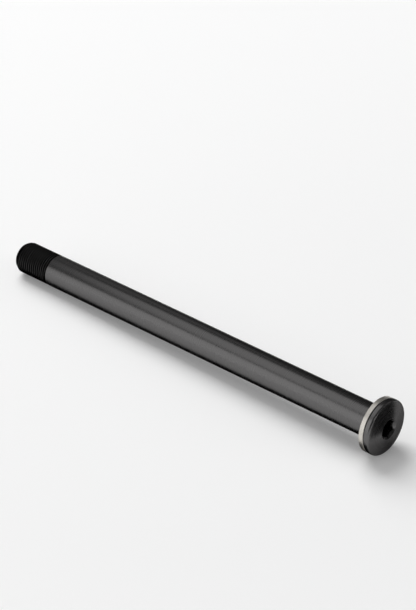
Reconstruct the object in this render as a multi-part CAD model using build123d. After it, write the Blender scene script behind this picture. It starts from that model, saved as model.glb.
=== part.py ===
from build123d import *
from math import ceil, cos, radians, tan
import os

# Rear 12 mm thru axle for a bicycle frame, with a flat washer that turns under its head.
# The axis of the axle runs along X, with the head at +X, the threaded tip at -X and Z up.
# The origin lies on that axis, in the washer face that bears on the frame's dropout.
# Units are millimetres and degrees.

# Driving dimensions: the body
overall_length = 172.0
shank_diameter = 12.0
bore_diameter = 5.8
bore_mouth_chamfer = 0.5

# Driving dimensions: the metric fine thread at the tip, M12 x 1.0
thread_length = 16.1
thread_pitch = 1.0
thread_flank_angle = 60.0
relief_width = 0.7
relief_extra_depth = 0.06
tip_chamfer_length = 1.5
tip_chamfer_angle = 30.0

# Driving dimensions: the head
head_diameter = 20.5
head_edge_thickness = 2.2
head_cone_rise = 1.1
head_front_radius = 0.5
head_back_chamfer = 0.35
neck_radius = 0.4
neck_relief_depth = 0.2
neck_relief_width = 2.0

# Driving dimensions: the hexagon socket in the head
hex_across_flats = 6.0
hex_depth = 8.0
mouth_lead = 0.34
mouth_angle = 120.0
ring_groove_depth = 0.14
ring_groove_width = 0.65
ring_groove_setback = 0.9

# Driving dimensions: the washer
washer_thickness = 1.8
washer_edge_chamfer = 0.12

# Clearances
thread_crest_clearance = 0.03
thread_stop_gap = 0.02
washer_bore_clearance = 0.02
washer_end_play = 0.05
washer_edge_inset = 0.05
cut_overrun = 1.0

# Places along X that the driving dimensions set
head_back_x = washer_thickness + washer_end_play
head_edge_x = head_back_x + head_edge_thickness
head_face_x = head_edge_x + head_cone_rise
tip_x = head_face_x - overall_length
thread_end_x = tip_x + thread_length
neck_relief_x = head_back_x - neck_relief_width

# Radii
shank_radius = shank_diameter / 2
neck_relief_radius = shank_radius - neck_relief_depth
bore_radius = bore_diameter / 2
head_radius = head_diameter / 2
hex_corner_radius = hex_across_flats / 2 / cos(radians(30))
mouth_radius = hex_corner_radius + mouth_lead
thread_major_radius = shank_radius - thread_crest_clearance

# A metric thread's root is a quarter pitch wide and lies five eighths of the sharp V deep
thread_sharp_depth = thread_pitch / (2 * tan(radians(thread_flank_angle / 2)))
thread_depth = 0.625 * thread_sharp_depth
thread_root_width = thread_pitch / 4
thread_root_radius = thread_major_radius - thread_depth


def turned(*points):
    """Solid of revolution about X, from the corners (x, radius) of a closed outline."""
    return revolve(make_face(Polyline(*points, close=True)), axis=Axis.X)


def bar(x_from, x_to, radius):
    """Round bar along the X axis between two places."""
    return turned((x_from, 0), (x_from, radius), (x_to, radius), (x_to, 0))


def body_blank():
    """Thread blank, shank and head as they come off the lathe, in one outline."""
    tip_radius = thread_major_radius - tip_chamfer_length * tan(radians(tip_chamfer_angle))
    outline = Polyline(
        (tip_x, 0),
        (tip_x, tip_radius),
        (tip_x + tip_chamfer_length, thread_major_radius),
        (thread_end_x, thread_major_radius),
        (thread_end_x, shank_radius),
        (neck_relief_x, shank_radius),
        (neck_relief_x + neck_relief_depth, neck_relief_radius),
        (head_back_x, neck_relief_radius),
        (head_back_x, head_radius - head_back_chamfer),
        (head_back_x + head_back_chamfer, head_radius),
        (head_edge_x, head_radius),
        (head_face_x, mouth_radius),
        (head_face_x, 0),
        close=True,
    )
    face = make_face(outline)
    front_corner = face.vertices().sort_by_distance((head_edge_x, head_radius, 0))[0]
    face = fillet(front_corner, head_front_radius)
    neck_corner = face.vertices().sort_by_distance((head_back_x, neck_relief_radius, 0))[0]
    face = fillet(neck_corner, neck_radius)
    return revolve(face, axis=Axis.X)


def relief_groove():
    """Ring cutter for the relief that the thread runs out into, next to the shank."""
    relief_radius = thread_root_radius - relief_extra_depth
    start_x = thread_end_x - relief_width
    outer_radius = shank_radius + cut_overrun
    return turned(
        (start_x, relief_radius),
        (start_x, outer_radius),
        (thread_end_x, outer_radius),
        (thread_end_x, relief_radius),
    )


def thread_turn_cutters():
    """Right-hand helical groove, one cutter for each turn, from the relief to beyond the tip."""
    # The cutters stand a little proud of the crests, but the turns must not touch there
    height = thread_depth + 0.04 * thread_pitch
    root_half = thread_root_width / 2
    top_half = root_half + height * tan(radians(thread_flank_angle / 2))
    end_x = thread_end_x - top_half - thread_stop_gap
    turn_count = ceil((end_x + top_half - tip_x) / thread_pitch)
    along = Vector(1, 0, 0)
    cutters = []
    for turn in range(turn_count):
        centre = Vector(end_x - (turn + 1) * thread_pitch, 0, 0)
        path = Helix(
            pitch=thread_pitch,
            height=thread_pitch,
            radius=thread_root_radius,
            center=centre,
            direction=along,
        )
        root = path @ 0
        outward = (root - centre).normalized()
        corners = [
            root - along * root_half,
            root + along * root_half,
            root + along * top_half + outward * height,
            root - along * top_half + outward * height,
        ]
        section = Face(Wire.make_polygon(corners, close=True))
        cutters.append(Solid.sweep(section, path=path, is_frenet=True))
    return cutters


def hex_socket():
    """Cutter for the hexagon socket, its countersunk mouth and the ring groove in it."""
    hexagon = RegularPolygon(hex_corner_radius, 6, rotation=30)
    prism = extrude(Plane.YZ * hexagon, hex_depth + cut_overrun)
    prism = Pos(head_face_x - hex_depth, 0, 0) * prism
    mouth_depth = mouth_radius / tan(radians(mouth_angle / 2))
    mouth = turned(
        (head_face_x - mouth_depth, 0),
        (head_face_x, mouth_radius),
        (head_face_x + cut_overrun, mouth_radius),
        (head_face_x + cut_overrun, 0),
    )
    groove_end_x = head_face_x - ring_groove_setback
    groove = bar(groove_end_x - ring_groove_width, groove_end_x, hex_corner_radius + ring_groove_depth)
    return prism + mouth + groove


def through_bore():
    """Cutter for the bore from the tip to the socket, with its chamfer at the tip."""
    lead_radius = bore_radius + bore_mouth_chamfer
    lead = turned((tip_x, 0), (tip_x, lead_radius), (tip_x + lead_radius, 0))
    return bar(tip_x - cut_overrun, head_face_x, bore_radius) + lead


def make_axle():
    """One-piece axle: threaded tip, shank and head with its hexagon socket."""
    threaded = body_blank() - relief_groove() - thread_turn_cutters()
    return threaded - hex_socket() - through_bore()


def make_washer():
    """Flat turned washer in the neck relief. It slides on over the shank, clear of the neck radius."""
    inner = shank_radius + washer_bore_clearance
    outer = head_radius - washer_edge_inset
    bore_chamfer = neck_radius - neck_relief_depth + 4 * washer_bore_clearance
    return turned(
        (0, inner),
        (0, outer - washer_edge_chamfer),
        (washer_edge_chamfer, outer),
        (washer_thickness - washer_edge_chamfer, outer),
        (washer_thickness, outer - washer_edge_chamfer),
        (washer_thickness, inner + bore_chamfer),
        (washer_thickness - bore_chamfer, inner),
    )


os.makedirs("parts", exist_ok=True)
export_step(make_axle(), "parts/axle.step")
export_step(make_washer(), "parts/washer.step")
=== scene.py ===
# %% [markdown]
# # A bicycle thru axle in black anodised aluminium
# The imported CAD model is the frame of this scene. It fixes every size and place, and this
# notebook only gives the two pieces a finer surface, their finishes, a floor, lamps and a camera.
# The axis of the axle runs along X with the head at +X, and the origin lies in the washer face
# that bears on the bicycle's frame. Lengths are written in millimetres and turned to metres
# where a mesh is made.

# %% Load the CAD frame
import bpy
import bmesh
import numpy as np
from math import cos, radians, sin, tan
from mathutils import Matrix, Vector


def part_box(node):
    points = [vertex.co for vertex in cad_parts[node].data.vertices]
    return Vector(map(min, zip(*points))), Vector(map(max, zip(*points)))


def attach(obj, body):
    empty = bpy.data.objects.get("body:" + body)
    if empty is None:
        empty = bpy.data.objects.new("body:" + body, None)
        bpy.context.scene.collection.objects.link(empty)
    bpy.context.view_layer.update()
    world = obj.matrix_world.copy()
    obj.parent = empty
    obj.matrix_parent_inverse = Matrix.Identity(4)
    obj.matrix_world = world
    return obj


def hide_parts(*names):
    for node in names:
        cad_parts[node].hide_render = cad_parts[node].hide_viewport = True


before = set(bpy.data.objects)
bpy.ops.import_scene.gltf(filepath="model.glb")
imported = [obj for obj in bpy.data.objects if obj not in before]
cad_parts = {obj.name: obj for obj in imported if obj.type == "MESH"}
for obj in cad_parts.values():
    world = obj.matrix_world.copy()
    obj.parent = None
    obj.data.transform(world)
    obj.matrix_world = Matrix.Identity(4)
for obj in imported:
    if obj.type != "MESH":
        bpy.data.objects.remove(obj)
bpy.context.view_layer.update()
axle_low, axle_high = (corner * 1000 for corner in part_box("axle"))
washer_low, washer_high = (corner * 1000 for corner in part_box("washer"))
print("axle from", tuple(axle_low), "to", tuple(axle_high), "mm")
print("washer from", tuple(washer_low), "to", tuple(washer_high), "mm")

# %% [markdown]
# ## Surfaces of revolution on one grid
# Both pieces come off a lathe, so each surface is a grid: one parameter runs along the outline
# and the other is the angle round the axis. A Screw modifier could spin an outline too, and with
# an offset it makes a thread, but not the six-sided socket. With numpy the radius may depend on
# the angle, and that gives all of them in the same way, in one closed surface.

# %% Round the axis in equal steps
columns_round = 192
turn = np.linspace(0.0, 2 * np.pi, columns_round + 1)[None, :]


def placed(x, radius):
    """Points in metres from places in mm: x along the axis, and at each angle from +Z towards
    -Y, y is minus the radius times the sine and z is the radius times the cosine. Plain numbers
    or one value per angle give one row of the grid, and columns of values give many rows."""
    x, radius, angle = np.broadcast_arrays(x, radius, turn)
    return np.stack([x, -radius * np.sin(angle), radius * np.cos(angle)], axis=-1) / 1000


def spun(outline):
    """The grid of an outline of (x, radius) points in mm, one row for each point."""
    return placed(outline[:, :1], outline[:, 1:2])


print("grid:", columns_round, "columns, or one each", 360 / columns_round, "degrees")


# %% Turn grids of points into one closed mesh
merge_distance = 1e-6
sharp_from = radians(34)


def closed_skin(name, *grids):
    """One mesh object from grids of points that share their edge rows. Each cell is a face of
    the four points round it, wound so that it looks away from the material. Points that fall
    together within a micrometre are merged, which closes the seam and the shared edges."""
    points = np.concatenate([grid.reshape(-1, 3) for grid in grids])
    faces, first = [], 0
    for grid in grids:
        rows, columns = grid.shape[:2]
        corner = first + np.arange(rows - 1)[:, None] * columns + np.arange(columns - 1)[None, :]
        cells = [corner, corner + 1, corner + columns + 1, corner + columns]
        faces.append(np.stack(cells, axis=-1).reshape(-1, 4))
        first += rows * columns
    mesh = bpy.data.meshes.new(name)
    mesh.from_pydata(points, [], np.concatenate(faces).tolist())
    work = bmesh.new()
    work.from_mesh(mesh)
    bmesh.ops.remove_doubles(work, verts=work.verts, dist=merge_distance)
    open_edges = sum(not edge.is_manifold for edge in work.edges)
    volume = work.calc_volume(signed=True) * 1e9
    work.to_mesh(mesh)
    work.free()
    mesh.shade_smooth()
    mesh.set_sharp_from_angle(angle=sharp_from)
    piece = bpy.data.objects.new(name, mesh)
    bpy.context.scene.collection.objects.link(piece)
    print(name, len(mesh.polygons), "faces,", open_edges, "open edges,", round(volume), "mm3")
    return piece


# %% [markdown]
# ## Broken edges
# A turner breaks every edge of a part by a small radius, so that none cuts a hand. A Bevel
# modifier could round the finished mesh, with a weight on each edge for its width. Here the
# corners of the outline are rounded before it is spun, so that each radius is one number beside
# its corner.

# %% Round the corners of an outline
def eased(corners, steps=4):
    """The closed outline of (x, radius, fillet) corners with each one replaced by its fillet. The
    corner is cut back by the fillet's radius over the tangent of half the angle between its two
    sides, and the points between follow a circle, found as evenly spaced directions from its
    centre. A fillet of zero keeps the corner."""
    points, made = corners[:, :2], []
    neighbours = np.roll(points, 1, 0), points, np.roll(points, -1, 0)
    for before, here, after, radius in zip(*neighbours, corners[:, 2]):
        if radius == 0:
            made.append(here[None, :])
            continue
        back, on = before - here, after - here
        back, on = back / np.linalg.norm(back), on / np.linalg.norm(on)
        half = np.arccos(np.clip(back @ on, -1, 1)) / 2
        middle = (back + on) / np.linalg.norm(back + on)
        centre = here + middle * radius / sin(half)
        from_centre = -middle
        across = np.array([-from_centre[1], from_centre[0]])
        side = np.sign(across @ back)
        sweep = np.linspace(1, -1, steps + 1)[:, None] * (np.pi / 2 - half) * side
        made.append(centre + radius * (np.cos(sweep) * from_centre + np.sin(sweep) * across))
    return np.concatenate(made)


one_rounded = np.array([(0, 0, 0.1), (1, 0, 0), (0, 1, 0)])
print("a triangle with one corner rounded has", len(eased(one_rounded)), "points")

# %% [markdown]
# ## The thread
# The tip carries an M12 fine thread with a pitch of 1 mm. It is a helix, not a stack of rings, so
# the groove moves on by one pitch for each turn. A Screw modifier or a V cut out along a helix
# with a Boolean would make it too, and either needs care where the turns meet the tip and the
# relief. Here the rows of the grid follow the helix: a row keeps its place in the groove's outline
# all the way round and joins the next turn's row at the seam. Rows that would run past the tip or
# into the relief are stopped there and merge into its edge.

# %% Measures of the thread
# The flanks of a metric thread stand 60 degrees apart. Carried on to a sharp V they would meet
# 0.866 of a pitch down. The crest is cut off an eighth of that below the top, and the root is an
# arc whose radius is a sixth of it, which is a standard external thread.
pitch = 1.0
major_radius = 5.97
half_flank_angle = radians(30)
flank_slope = 1 / tan(half_flank_angle)
sharp_depth = pitch / 2 * flank_slope
apex_radius = major_radius - 7 / 8 * sharp_depth
root_arc = sharp_depth / 6
root_half_width = root_arc * cos(half_flank_angle)
thread_length = 16.1
relief_width = 0.7
relief_below_root = 0.02
last_groove_setback = 0.48
lead_in_length = 1.5
lead_in_angle = radians(30)
tip_x = axle_low.x
thread_end_x = tip_x + thread_length
relief_x = thread_end_x - relief_width
relief_radius = apex_radius + root_arc - relief_below_root
groove_x = thread_end_x - last_groove_setback
thread_depth = major_radius - apex_radius - root_arc
print("thread depth", round(thread_depth, 3), "mm, root arc", round(root_arc, 3), "mm")

# %% The radius anywhere on the thread
crest_softness = 0.012
crest_samples = 5


def thread_radius(x, angle):
    """Distance from the nearest groove's middle line gives the radius: a circle at the root, whose
    centre lies two of its radii above the sharp V, then the flank up to the crest. Five samples a
    short way apart are averaged, which takes the sharpness off the crest. The lead-in cone at the
    tip cuts the crests down."""
    offset = x - groove_x - pitch * angle / (2 * np.pi)
    offset = offset[..., None] + np.linspace(-crest_softness, crest_softness, crest_samples)
    from_groove = np.abs(offset - pitch * np.round(offset / pitch))
    flank = apex_radius + from_groove * flank_slope
    on_arc = np.minimum(from_groove, root_half_width)
    arc = apex_radius + 2 * root_arc - np.sqrt(root_arc ** 2 - on_arc ** 2)
    groove = np.where(from_groove < root_half_width, arc, flank)
    thread = np.minimum(groove, major_radius).mean(axis=-1)
    lead_in = major_radius - tan(lead_in_angle) * (lead_in_length - (x - tip_x))
    return np.minimum(thread, lead_in)


at_tip = thread_radius(tip_x, turn)
print("radius at the tip", round(at_tip.min(), 2), "to", round(at_tip.max(), 2), "mm")

# %% Rows that follow the helix
# Places of the rows from the middle of a groove, as parts of a pitch. They stand close together
# round the root's arc and at both corners of the crest, and far apart on the straight flanks.
root_places = [-0.14, -0.12, -0.095, -0.065, -0.03, 0.0, 0.03, 0.065, 0.095, 0.12, 0.14]
crest_places = [0.415, 0.43, 0.4375, 0.445, 0.46, 0.54, 0.555, 0.5625, 0.57, 0.585]
outline_places = np.array([*root_places, 0.28, *crest_places, 0.72])
turns = int(np.ceil((relief_x - tip_x) / pitch)) + 3
first_turn = np.floor((tip_x - groove_x) / pitch) - 1
rows = (first_turn + np.arange(turns))[:, None] * pitch + outline_places[None, :]
helix_x = rows.reshape(-1, 1) + groove_x + pitch * turn / (2 * np.pi)
helix_x = np.clip(helix_x, tip_x, relief_x)
thread_grid = placed(helix_x, thread_radius(helix_x, turn))
print("thread grid", thread_grid.shape[0], "rows along", turns, "turns")

# %% [markdown]
# ## Shank and head
# From the relief groove the outline runs along the ground shank, down into the undercut below the
# washer, round the head's rim and up its flat cone to the mouth of the socket. Cylinders and cones
# could be joined, with seams to merge. One outline, spun once, has none to begin with.

# %% Measures of the shank and the head
shank_radius = 6.0
neck_width, neck_depth, neck_fillet = 2.0, 0.2, 0.4
cone_rise = 1.1
rim_thickness = 2.2
back_chamfer = 0.35
front_fillet = 0.85
hexagon_flat = 3.0
hexagon_corner = hexagon_flat / cos(radians(30))
mouth_lead = 0.34
mouth_radius = hexagon_corner + mouth_lead
head_radius = axle_high.y
head_face_x = axle_high.x
head_edge_x = head_face_x - cone_rise
head_back_x = head_edge_x - rim_thickness
neck_x = head_back_x - neck_width
neck_radius = shank_radius - neck_depth
print("head", round(2 * head_radius, 2), "mm across, back at", round(head_back_x, 2), "mm")

# %% The outline from the thread to the socket
body_outline = eased(np.array([
    (relief_x, relief_radius, 0.0),
    (thread_end_x, relief_radius, 0.08),
    (thread_end_x, shank_radius, 0.06),
    (neck_x, shank_radius, 0.05),
    (neck_x + neck_depth, neck_radius, 0.1),
    (head_back_x, neck_radius, neck_fillet),
    (head_back_x, head_radius - back_chamfer, 0.08),
    (head_back_x + back_chamfer, head_radius, 0.2),
    (head_edge_x, head_radius, front_fillet),
    (head_face_x, mouth_radius, 0.0),
]))
relief_wall = placed(relief_x, thread_radius(relief_x, turn))
body_grid = np.concatenate([relief_wall, spun(body_outline)])
print("body outline", len(body_outline), "points")

# %% [markdown]
# ## The hexagon socket and the bore
# A 6 mm key drives the axle. The countersink cuts each wall of the socket in a shallow curve, and
# a ring groove lies just below it. Behind the socket a bore runs on to the tip and saves weight.
# A Boolean cut with a six-sided prism can leave long thin faces on the cone. Here the radius
# depends on the angle instead, so the same columns run on from the cone down the flat walls.

# %% Walls of the socket
# A flat wall's radius is half the width across flats over the cosine of the angle from its middle.
countersink_half_angle = radians(45)
groove_setback, groove_width, groove_depth = 0.9, 0.65, 0.14
socket_depth = 8.0
bore_radius = 2.9
bore_chamfer = 0.5
flat_angle = np.mod(turn, np.pi / 3) - np.pi / 6
hexagon = hexagon_flat / np.cos(flat_angle)
countersink = head_face_x - (mouth_radius - hexagon) / tan(countersink_half_angle)
groove_radius = hexagon_corner + groove_depth
groove_front = head_face_x - groove_setback
groove_back = groove_front - groove_width
socket_end = head_face_x - socket_depth
socket_grid = np.concatenate([
    placed(head_face_x, mouth_radius),
    placed((head_face_x + countersink) / 2, (mouth_radius + hexagon) / 2),
    placed(countersink, hexagon),
    placed(groove_front, hexagon),
    placed(groove_front, groove_radius),
    placed(groove_back, groove_radius),
    placed(groove_back, hexagon),
    placed(socket_end, hexagon),
    placed(socket_end, bore_radius),
    placed(tip_x + bore_chamfer, bore_radius),
    placed(tip_x, bore_radius + bore_chamfer),
    placed(tip_x, at_tip),
])
print("socket", 2 * hexagon_flat, "mm across flats,", socket_depth, "mm deep")

# %% Make the axle
axle_skin = closed_skin("axle_body", thread_grid, body_grid, socket_grid)
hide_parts("axle")
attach(axle_skin, "axle")

# %% [markdown]
# ## The washer
# A flat turned ring turns under the head. A cylinder with a hole would do, but on the same grid
# its edges get their own radii as well. Its outline is a closed loop, so the surface needs no
# caps: the last row joins the first one.

# %% Make the washer
thickness, washer_radius = washer_high.x, washer_high.y
washer_bore = 6.02
edge_chamfer, seat_chamfer = 0.12, 0.28
washer_outline = eased(np.array([
    (0.0, washer_bore, 0.05),
    (0.0, washer_radius - edge_chamfer, 0.06),
    (edge_chamfer, washer_radius, 0.06),
    (thickness - edge_chamfer, washer_radius, 0.06),
    (thickness, washer_radius - edge_chamfer, 0.06),
    (thickness, washer_bore + seat_chamfer, 0.06),
    (thickness - seat_chamfer, washer_bore, 0.06),
]))
washer_loop = np.concatenate([washer_outline, washer_outline[:1]])
washer_skin = closed_skin("washer_ring", spun(washer_loop))
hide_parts("washer")
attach(washer_skin, "washer")

# %% [markdown]
# ## Finishes
# Each finish is a Principled shader with a little pattern from nodes. A picture could carry the
# pattern too, but it would have to be wrapped round the thread. A lathe leaves fine rings, so the
# pattern reads two numbers from the Object coordinates: the place along the axis and the distance
# from it. Those stay the same all the way round, as the marks of a tool do.

# %% Helpers for finishes
def linear(code):
    """An sRGB hex colour as linear values: each channel over 255, then the sRGB curve undone."""
    channels = np.array([int(code[i:i + 2], 16) for i in (1, 3, 5)]) / 255
    curve = ((channels + 0.055) / 1.055) ** 2.4
    return (*np.where(channels <= 0.04045, channels / 12.92, curve), 1.0)


def add_node(tree, kind, links=(), **settings):
    """Adds a node. Settings name its properties, or its inputs by name with spaces as
    underscores, and links are pairs of an input and the socket that feeds it."""
    node = tree.nodes.new(kind)
    for name, value in settings.items():
        if hasattr(node, name):
            setattr(node, name, value)
        else:
            node.inputs[name.replace("_", " ")].default_value = value
    for name, source in links:
        tree.links.new(node.inputs[name], source)
    return node


def new_finish(name):
    """A new material, its node tree and its shader."""
    material = bpy.data.materials.new(name)
    material.use_nodes = True
    tree = material.node_tree
    return material, tree, tree.nodes["Principled BSDF"]


def lathe_places(tree):
    """The place along the axis and the distance from it, in metres, from Object coordinates."""
    place = add_node(tree, "ShaderNodeTexCoord").outputs["Object"]
    parts = add_node(tree, "ShaderNodeSeparateXYZ", [("Vector", place)]).outputs
    across = add_node(tree, "ShaderNodeCombineXYZ", [("Y", parts["Y"]), ("Z", parts["Z"])])
    radius = add_node(tree, "ShaderNodeVectorMath", [(0, across.outputs[0])], operation="LENGTH")
    return parts["X"], radius.outputs["Value"]


def lathe_marks(tree, along, radius, spacing_mm):
    """Noise that reads only the place along the axis and the distance from it, so its grains are
    rings. A scale of one over the spacing in metres makes them that far apart."""
    lines = add_node(tree, "ShaderNodeCombineXYZ", [("X", along), ("Y", radius)])
    noise = add_node(tree, "ShaderNodeTexNoise", [("Vector", lines.outputs[0])],
                     Scale=1000 / spacing_mm, Detail=2.0)
    return noise.outputs["Fac"]


def share_between(tree, place, none_mm, full_mm, full=1.0):
    """A share that is 0 where the place is none_mm and rises in a straight line to full where it
    is full_mm, and stays level beyond both."""
    share = add_node(tree, "ShaderNodeMapRange", [("Value", place)], From_Min=none_mm / 1000,
                     From_Max=full_mm / 1000, To_Min=0.0, To_Max=full)
    return share.outputs["Result"]


print("white is", linear("#FFFFFF")[:3])

# %% [markdown]
# ## Black anodised aluminium
# The axle is taken for turned aluminium, etched, anodised and dyed black: a dark metal with a
# satin gloss. Its base colour leaves about a seventh of the light. It stays dark towards its edges
# in the photograph, so the edge tint is dark as well. Both were matched to the photograph. A black
# base under a clear coat would be simpler, but a coat returns only about 4 per cent of a lamp that
# is seen straight on, and the brightest band on the shank is about 15 per cent of white.
# In the shank's own colour the thread renders at grey levels of 46 to 71, where the photograph has
# 6 to 35. So shade is painted into the thread's base colour: two base colours are blended by
# place, darkest in the grooves and halfway between on the crests.

# %% The axle's finish
black, tree, shader = new_finish("satin_black_anodising")
shader.inputs["Metallic"].default_value = 1.0
shader.inputs["Specular Tint"].default_value = linear("#949494")
# Real tool marks are about 0.05 mm apart. They are drawn 0.4 mm apart so that they show.
along, radius = lathe_places(tree)
marks = lathe_marks(tree, along, radius, spacing_mm=0.4)
roughness = add_node(tree, "ShaderNodeMapRange", [("Value", marks)], To_Min=0.25, To_Max=0.29)
bump = add_node(tree, "ShaderNodeBump", [("Height", marks)], Strength=0.03, Distance=0.00001)
tree.links.new(shader.inputs["Roughness"], roughness.outputs["Result"])
tree.links.new(shader.inputs["Normal"], bump.outputs["Normal"])

# %% Painted shade in the thread
# The metal is plain beyond the thread and on the end face. In the thread its colour is darkened as
# painted shade, fully below the top tenth of a millimetre of the flanks and by half on the crests.
beyond_thread = share_between(tree, along, thread_end_x - 0.1, thread_end_x)
on_end_face = share_between(tree, along, tip_x + 0.4, tip_x + 0.1)
up_the_flank = share_between(tree, radius, major_radius - 0.1, major_radius - 0.005, full=0.5)
plain = add_node(tree, "ShaderNodeMath", [(0, beyond_thread), (1, on_end_face)],
                 operation="MAXIMUM")
unshaded = add_node(tree, "ShaderNodeMath", [(0, plain.outputs[0]), (1, up_the_flank)],
                 operation="MAXIMUM")
# Colour A is the painted shade in the grooves, colour B the shank's own colour.
colour = add_node(tree, "ShaderNodeMix", data_type="RGBA")
colour.inputs["A"].default_value = linear("#0C0C0C")
colour.inputs["B"].default_value = linear("#686767")
tree.links.new(colour.inputs["Factor"], unshaded.outputs[0])
tree.links.new(shader.inputs["Base Color"], colour.outputs["Result"])
axle_skin.data.materials.append(black)
print("finish", black.name)

# %% [markdown]
# ## Fine turned steel
# The washer is bare steel, faced and turned with a sharp tool. It is a warm light grey with a soft
# sheen, and the tool's feed of about 0.1 mm leaves rings. Anisotropy could streak the sheen too.
# Rings in the roughness and a faint bump were chosen, because they need no direction to follow.

# %% The washer's finish
# The rings are drawn 0.3 mm apart so that they show.
steel, tree, shader = new_finish("fine_turned_steel")
shader.inputs["Base Color"].default_value = linear("#D4D0C9")
shader.inputs["Metallic"].default_value = 1.0
marks = lathe_marks(tree, *lathe_places(tree), spacing_mm=0.3)
roughness = add_node(tree, "ShaderNodeMapRange", [("Value", marks)], To_Min=0.32, To_Max=0.44)
bump = add_node(tree, "ShaderNodeBump", [("Height", marks)], Strength=0.15, Distance=0.00002)
tree.links.new(shader.inputs["Roughness"], roughness.outputs["Result"])
tree.links.new(shader.inputs["Normal"], bump.outputs["Normal"])
washer_skin.data.materials.append(steel)
print("finish", steel.name)

# %% [markdown]
# ## The floor
# The axle lies on a plain pale floor, on the rim of its head and on its tip. It could be turned to
# lie level, but the CAD frame fixes its place, so the floor is tipped by a degree and a half
# against it instead. It is one large flat face, whose far edge shows only from very low down.

# %% The floor that the axle lies on
contact_gap = 0.01
reach = 20.0
head_contact = Vector((head_back_x + back_chamfer, 0, -head_radius - contact_gap)) / 1000
tip_contact = Vector((tip_x + lead_in_length, 0, -major_radius - contact_gap)) / 1000
slope = (tip_contact.z - head_contact.z) / (tip_contact.x - head_contact.x)


def floor_height(x):
    """Height of the floor in metres: a straight line along X through both points of contact."""
    return head_contact.z + slope * (x - head_contact.x)


def flat_sheet(name, points, finish):
    """A stage piece of one flat face, from its corners in metres."""
    mesh = bpy.data.meshes.new(name)
    mesh.from_pydata(points, [], [list(range(len(points)))])
    mesh.materials.append(finish)
    sheet = bpy.data.objects.new(name, mesh)
    bpy.context.scene.collection.objects.link(sheet)
    return sheet


print("floor slopes by", round(float(np.degrees(np.arctan(slope))), 2), "degrees")

# %% [markdown]
# ## White paper
# Product photographs are taken on matt white paper. More lamps would whiten it, but they would
# also change the metal. So part of its white comes from an emission of strength 1 that the camera,
# glossy and transmission rays see. That part is a seventh beside the axle, where the paper is lit
# and keeps the shadow, and grows to the whole further out, so the paper stays white however far it
# runs.

# %% The floor's finish
middle_of_axle = (-0.08, 0.0, 0.0)
lit_within, white_beyond = 0.11, 0.8
least_glow = 0.14
paper, tree, shader = new_finish("white_paper")
shader.inputs["Base Color"].default_value = linear("#F4F4F4")
shader.inputs["Roughness"].default_value = 0.9
shader.inputs["Specular IOR Level"].default_value = 0.0
path = add_node(tree, "ShaderNodeLightPath").outputs
seen = add_node(tree, "ShaderNodeMath", [(0, path["Is Camera Ray"]), (1, path["Is Glossy Ray"])],
                operation="ADD", use_clamp=True)
seen = add_node(tree, "ShaderNodeMath", [(0, seen.outputs[0]), (1, path["Is Transmission Ray"])],
                operation="ADD", use_clamp=True)
place = add_node(tree, "ShaderNodeTexCoord").outputs["Object"]
away = add_node(tree, "ShaderNodeVectorMath", [(0, place)], operation="DISTANCE")
away.inputs[1].default_value = middle_of_axle
own_light = add_node(tree, "ShaderNodeMapRange", [("Value", away.outputs["Value"])],
                     From_Min=lit_within, From_Max=white_beyond,
                     To_Min=least_glow, To_Max=1.0)
share = add_node(tree, "ShaderNodeMath", [(0, seen.outputs[0]), (1, own_light.outputs["Result"])],
                 operation="MULTIPLY")
glow = add_node(tree, "ShaderNodeEmission", Strength=1.0)
mixed = add_node(tree, "ShaderNodeMixShader", [(0, share.outputs[0]), (1, shader.outputs[0]),
                                               (2, glow.outputs[0])])
tree.links.new(tree.nodes["Material Output"].inputs["Surface"], mixed.outputs[0])
floor_plan = [(-reach, -reach), (reach, -reach), (reach, reach), (-reach, reach)]
flat_sheet("studio_floor", [(x, y, floor_height(x)) for x, y in floor_plan], paper)
print("floor finish", paper.name)

# %% [markdown]
# ## Lamps
# Polished and satin metal shows its surroundings more than its own colour, so the lamps are what
# the eye reads as the finish. A picture of a studio round the scene could light it, but single
# lamps can each be set where the shank should show them. The front and the top lamp draw its two
# bright bands, a faint one stands behind, and the metal between stays dark. A lamp low beyond the
# head runs light along the flanks of the thread, and one at the back right serves the views from
# behind. A broad lamp high up at the back lights the paper and softens the shadow. Glossy rays
# don't see that one, and both pieces are metals, so it lights the paper alone.

# %% Soft lamps
def softbox(name, centre, across, upward, level):
    """A rectangular lamp round its centre, with two edges given as vectors in metres. It shines
    along the side of their cross product that looks at the axle. Its power is its level times pi
    times its area, so that a level of 1 is as bright as white paper in full light."""
    across, upward, centre = Vector(across), Vector(upward), Vector(centre)
    if across.cross(upward).dot(centre) < 0:
        across = -across
    lamp = bpy.data.lights.new(name, "AREA")
    lamp.shape = "RECTANGLE"
    lamp.size, lamp.size_y = across.length, upward.length
    lamp.energy = level * np.pi * across.length * upward.length
    place = bpy.data.objects.new(name, lamp)
    sides = across.normalized(), upward.normalized(), across.cross(upward).normalized()
    place.rotation_mode = "QUATERNION"
    place.rotation_quaternion = Matrix(sides).transposed().to_quaternion()
    place.location = centre
    place.visible_camera = False
    bpy.context.scene.collection.objects.link(place)
    print(name, "is", round(across.length, 2), "by", round(upward.length, 2), "m, level", level)
    return place


softbox("front_softbox", (-0.95, -1.2, 0.65), (2.2, 0, 0), (0, 0, 1.3), 1.0)
softbox("top_softbox", (-0.56, -0.17, 1.1), (1.32, 0, 0), (0, 1.22, 0), 0.72)
softbox("back_left_softbox", (-1.78, 1.3, 0.80), (1.35, 0, 0), (0, 0, 1.6), 0.25)
softbox("back_right_softbox", (1.35, 1.15, 0.65), (0.9, -1.06, 0), (0, 0, 0.9), 0.6)
softbox("head_end_softbox", (1.77, 0.53, 0.38), (-0.37, 1.24, 0), (0, 0, 0.5), 3.0)
fill = softbox("broad_fill", (-2.2, 0.85, 2.5), (1.97, 0, 1.734), (0.408, 2.47, -0.48), 5.1)
fill.visible_glossy = False
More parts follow.
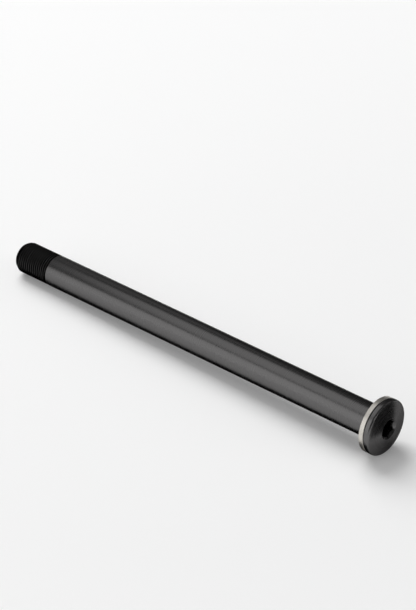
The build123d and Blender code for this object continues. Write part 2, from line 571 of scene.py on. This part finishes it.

# %% [markdown]
# ## Black cards that paint shade into reflections
# Black metal on white paper takes the white up at its edges. A darker finish would hide that, but
# would also weaken the sheen, so black cards are set against it. They are painted shade that only
# the reflections show. One stands in front of the socket, a finger's width off the head, and
# paints a dark reflection into the head's face. One lies under the axle, a tenth of a millimetre
# above the floor, and paints a deeper contact shadow into the reflections, which keeps the lower
# edges of shank and head dark. It is narrow under the shank and comes forward under the head. Real
# cards would be seen and cast shadows. Only glossy rays meet these, so they belong to this scene
# alone.
# Without them the head's face has grey levels of 88 to 99 from its top to its upper left, instead
# of 18 to 49, and the lower edges of shank and head have 55 to 85 instead of 15 to 68.

# %% Two cards that only reflections show
# A black for the painted shade that only reflections show.
reflection_shade_finish, tree, shader = new_finish("painted_reflection_shade")
shader.inputs["Base Color"].default_value = linear("#0A0A0A")
shader.inputs["Roughness"].default_value = 1.0


def black_card(name, points):
    """A flat card of the given corners in metres, which only glossy rays meet, so it paints shade
    into reflections alone.
    """
    card = flat_sheet(name, points, reflection_shade_finish)
    for rays in ("camera", "diffuse", "shadow", "transmission", "volume_scatter"):
        setattr(card, "visible_" + rays, False)
    print(name, [round(edge * 1000) for edge in card.dimensions], "mm")


card_x = 0.019
card_lift = 0.0001
footprint = [(-0.17, -0.0075), (-0.11, -0.0075), (-0.008, -0.0095), (-0.005, -0.0155),
             (0.0035, -0.0155), (0.0035, 0.014), (-0.17, 0.014)]
side_plan = [(-0.004, -0.0105), (0.026, -0.0105), (0.026, 0.02), (-0.004, 0.02)]
# The side card paints a dark reflection into the head's face, and the floor card paints a deeper
# contact shadow into the reflections of the lower edges.
black_card("side_card", [(card_x, y, z) for y, z in side_plan])
black_card("floor_shade_card", [(x, y, floor_height(x) + card_lift) for x, y in footprint])

# %% [markdown]
# ## Dim surroundings
# In a studio the room beyond the lamps is dark, but never black. A picture of a room would show in
# the metal as shapes of its own. One even dim white fills the gaps between the lamps instead. The
# Standard view transform then adds no contrast of its own.

# %% The room beyond the lamps
room_light = 0.1
world = bpy.data.worlds.new("studio")
bpy.context.scene.world = world
world.use_nodes = True
background = world.node_tree.nodes["Background"]
background.inputs["Color"].default_value = linear("#FFFFFF")
background.inputs["Strength"].default_value = room_light
bpy.context.scene.view_settings.view_transform = "Standard"
print("world strength", room_light)

# %% [markdown]
# ## Camera
# A long lens from in front and above, on the head's side, keeps both ends of the axle nearly the
# same width. It could aim at the axle's middle with a constraint, but it was placed so that the
# outline of the axle falls where it does in the photograph, and its direction is written out.

# %% A long lens
camera = bpy.data.objects.new("camera", bpy.data.cameras.new("camera"))
camera.data.lens = 149.17
camera.data.sensor_width = 36.0
camera.location = Vector((419.77, -565.68, 488.39)) / 1000
camera.rotation_mode = "QUATERNION"
looking = Vector((-0.5580837, 0.63690386, -0.53187974))
camera.rotation_quaternion = looking.to_track_quat("-Z", "Y")
camera.data.clip_start, camera.data.clip_end = 0.05, 50.0
bpy.context.scene.collection.objects.link(camera)
bpy.context.scene.camera = camera
print("camera looks along", tuple(round(v, 3) for v in looking))
